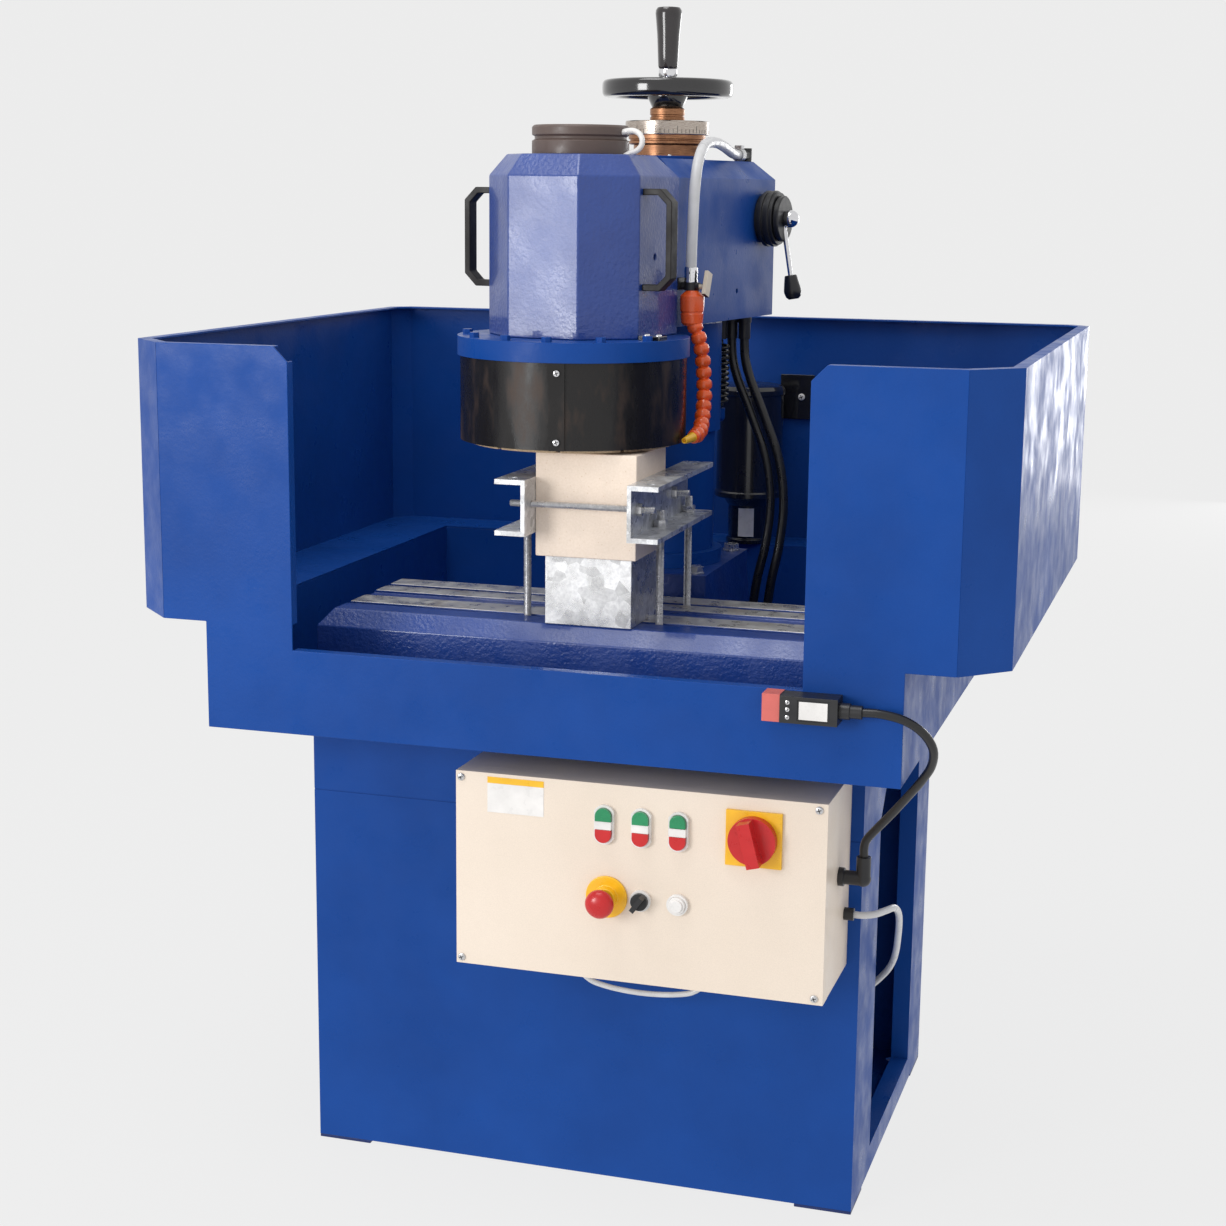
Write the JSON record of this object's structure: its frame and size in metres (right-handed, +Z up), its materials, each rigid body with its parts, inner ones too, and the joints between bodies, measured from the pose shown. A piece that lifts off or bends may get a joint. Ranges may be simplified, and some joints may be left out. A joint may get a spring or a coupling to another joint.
{
  "type": "surface grinder",
  "caption": "Swing-arm surface grinder with column-mounted grinding head, splash guard, slotted table, coolant jet and front control box.",
  "frame": {"origin": "centre of the whole machine's footprint, on the floor", "axes": "+Z up, -Y towards the operator at the control box, +X to the operator's right"},
  "size_m": [1.263, 1.052, 1.737],
  "materials": {
    "blue_paint": "gloss hammered enamel",
    "dark_blue_paint": "gloss enamel",
    "cream_paint": "semi-gloss powder coat",
    "black_paint": "gloss enamel",
    "zinc_steel": "zinc plated",
    "machined_steel": "ground",
    "galvanised": "hot-dip galvanised",
    "bronze": "turned bronze",
    "black_plastic": "moulded",
    "black_rubber": "matt",
    "grey_hose": "smooth",
    "orange_plastic": "glossy moulded",
    "green_plastic": "glossy moulded",
    "red_plastic": "glossy moulded",
    "yellow_plastic": "moulded",
    "white_plastic": "moulded",
    "ivory_plastic": "moulded",
    "grey_paint": "matt",
    "abrasive": "bonded grit",
    "cast_concrete": "honed",
    "chrome": "polished"
  },
  "bodies": {
    "root": {"base_cabinet": "blue_paint", "foot_pads": "dark_blue_paint", "coolant_tray": "blue_paint", "front_sheet": "blue_paint", "splash_guard": "blue_paint", "table_bed": "blue_paint", "column_foot": "blue_paint", "foot_bolts": "zinc_steel", "column": "blue_paint", "control_box_body": "cream_paint", "control_box_cover": "cream_paint", "cover_screws": "zinc_steel", "button_bezels": "white_plastic", "pilot_lamp": "white_plastic", "estop_collar": "yellow_plastic", "main_switch_plate": "yellow_plastic", "guard_switch": "black_plastic", "switch_cable": "black_rubber", "side_cable": "grey_hose", "cable_glands": "black_plastic", "coolant_pump": "black_paint", "coolant_tank": "grey_paint", "jaw_channels": "galvanised", "clamp_hardware": "zinc_steel", "riser_block": "machined_steel", "specimen_cube": "cast_concrete", "power_conduits": "black_rubber"},
    "start_button_1": {"start_button_1": "green_plastic"},
    "start_button_2": {"start_button_2": "green_plastic"},
    "start_button_3": {"start_button_3": "green_plastic"},
    "stop_button_1": {"stop_button_1": "red_plastic"},
    "stop_button_2": {"stop_button_2": "red_plastic"},
    "stop_button_3": {"stop_button_3": "red_plastic"},
    "estop_stem": {"estop_stem": "black_plastic"},
    "estop_button": {"estop_button": "red_plastic"},
    "selector_knob": {"selector_knob": "black_plastic"},
    "main_switch_handle": {"main_switch_handle": "red_plastic"},
    "swing_sleeve": {"swing_sleeve": "blue_paint", "coiled_hose": "black_rubber"},
    "arm": {"arm_casing": "blue_paint", "head_casing": "blue_paint", "head_flange": "blue_paint", "splash_skirt": "black_paint", "motor_cap": "black_plastic", "grab_handles": "black_paint", "spindle_motor": "grey_paint", "coolant_hose": "grey_hose", "valve_body": "black_plastic", "segmented_hose": "orange_plastic", "arm_fittings": "black_plastic", "screw_housing": "bronze", "clamp_hub": "black_plastic"},
    "spindle": {"spindle_shaft": "machined_steel", "wheel_plate": "machined_steel", "wheel_segments": "abrasive"},
    "handwheel": {"handwheel": "black_plastic", "lead_screw": "machined_steel"},
    "crank_handle": {"crank_handle": "black_plastic"},
    "clamp_lever": {"clamp_lever": "chrome"},
    "valve_lever": {"valve_lever": "ivory_plastic"}
  },
  "joints": [
    {"name": "start_button_1_press", "type": "slide", "parent": "root", "child": "start_button_1", "axis": [0, 1, 0], "range_m": [0, 0.004], "stiffness_N_per_m": 800, "springref_m": -0.001},
    {"name": "start_button_2_press", "type": "slide", "parent": "root", "child": "start_button_2", "axis": [0, 1, 0], "range_m": [0, 0.004], "stiffness_N_per_m": 800, "springref_m": -0.001},
    {"name": "start_button_3_press", "type": "slide", "parent": "root", "child": "start_button_3", "axis": [0, 1, 0], "range_m": [0, 0.004], "stiffness_N_per_m": 800, "springref_m": -0.001},
    {"name": "stop_button_1_press", "type": "slide", "parent": "root", "child": "stop_button_1", "axis": [0, 1, 0], "range_m": [0, 0.004], "stiffness_N_per_m": 800, "springref_m": -0.001},
    {"name": "stop_button_2_press", "type": "slide", "parent": "root", "child": "stop_button_2", "axis": [0, 1, 0], "range_m": [0, 0.004], "stiffness_N_per_m": 800, "springref_m": -0.001},
    {"name": "stop_button_3_press", "type": "slide", "parent": "root", "child": "stop_button_3", "axis": [0, 1, 0], "range_m": [0, 0.004], "stiffness_N_per_m": 800, "springref_m": -0.001},
    {"name": "estop_press", "type": "slide", "parent": "root", "child": "estop_stem", "axis": [0, 1, 0], "range_m": [0, 0.005], "stiffness_N_per_m": 1500, "springref_m": -0.001},
    {"name": "estop_twist", "type": "hinge", "parent": "estop_stem", "child": "estop_button", "pos_m": [0.097, -0.509, 0.506], "axis": [0, 1, 0], "range_deg": [0, 45], "stiffness_Nm_per_rad": 0.2},
    {"name": "selector_turn", "type": "hinge", "parent": "root", "child": "selector_knob", "pos_m": [0.146, -0.489, 0.506], "axis": [0, 1, 0], "range_deg": [-70, 0]},
    {"name": "main_switch_turn", "type": "hinge", "parent": "root", "child": "main_switch_handle", "pos_m": [0.304, -0.489, 0.61], "axis": [0, 1, 0], "range_deg": [0, 90]},
    {"name": "head_swing", "type": "hinge", "parent": "root", "child": "swing_sleeve", "pos_m": [0, 0.116, 1.38], "axis": [0, 0, 1], "range_deg": [-37, 53], "deforming": ["power_conduits"]},
    {"name": "head_lift", "type": "slide", "parent": "swing_sleeve", "child": "arm", "axis": [0, 0, 1], "range_m": [-0.0005, 0.12], "deforming": ["coiled_hose"]},
    {"name": "handwheel_turn", "type": "hinge", "parent": "arm", "child": "handwheel", "pos_m": [0, 0.116, 1.62], "axis": [0, 0, -1], "range_deg": [-45, 8700]},
    {"name": "crank_handle_spin", "type": "hinge", "parent": "handwheel", "child": "crank_handle", "pos_m": [0.02273, 0.03513, 1.69], "axis": [0, 0, 1], "continuous": true},
    {"name": "spindle_spin", "type": "hinge", "parent": "arm", "child": "spindle", "pos_m": [-0.04537, -0.20683, 1.15], "axis": [0, 0, 1], "continuous": true},
    {"name": "clamp_lever_turn", "type": "hinge", "parent": "arm", "child": "clamp_lever", "pos_m": [0.13228, 0.21657, 1.423], "axis": [0.9903, -0.1392, 0], "range_deg": [0, 90]},
    {"name": "valve_lever_turn", "type": "hinge", "parent": "arm", "child": "valve_lever", "pos_m": [0.11904, -0.11481, 1.328], "axis": [0.9903, -0.1392, 0], "range_deg": [0, 90]}
  ],
  "couplings": [
    {"joint": "handwheel_turn", "follows": "head_lift", "rad_per_m": 1256.6}
  ]
}
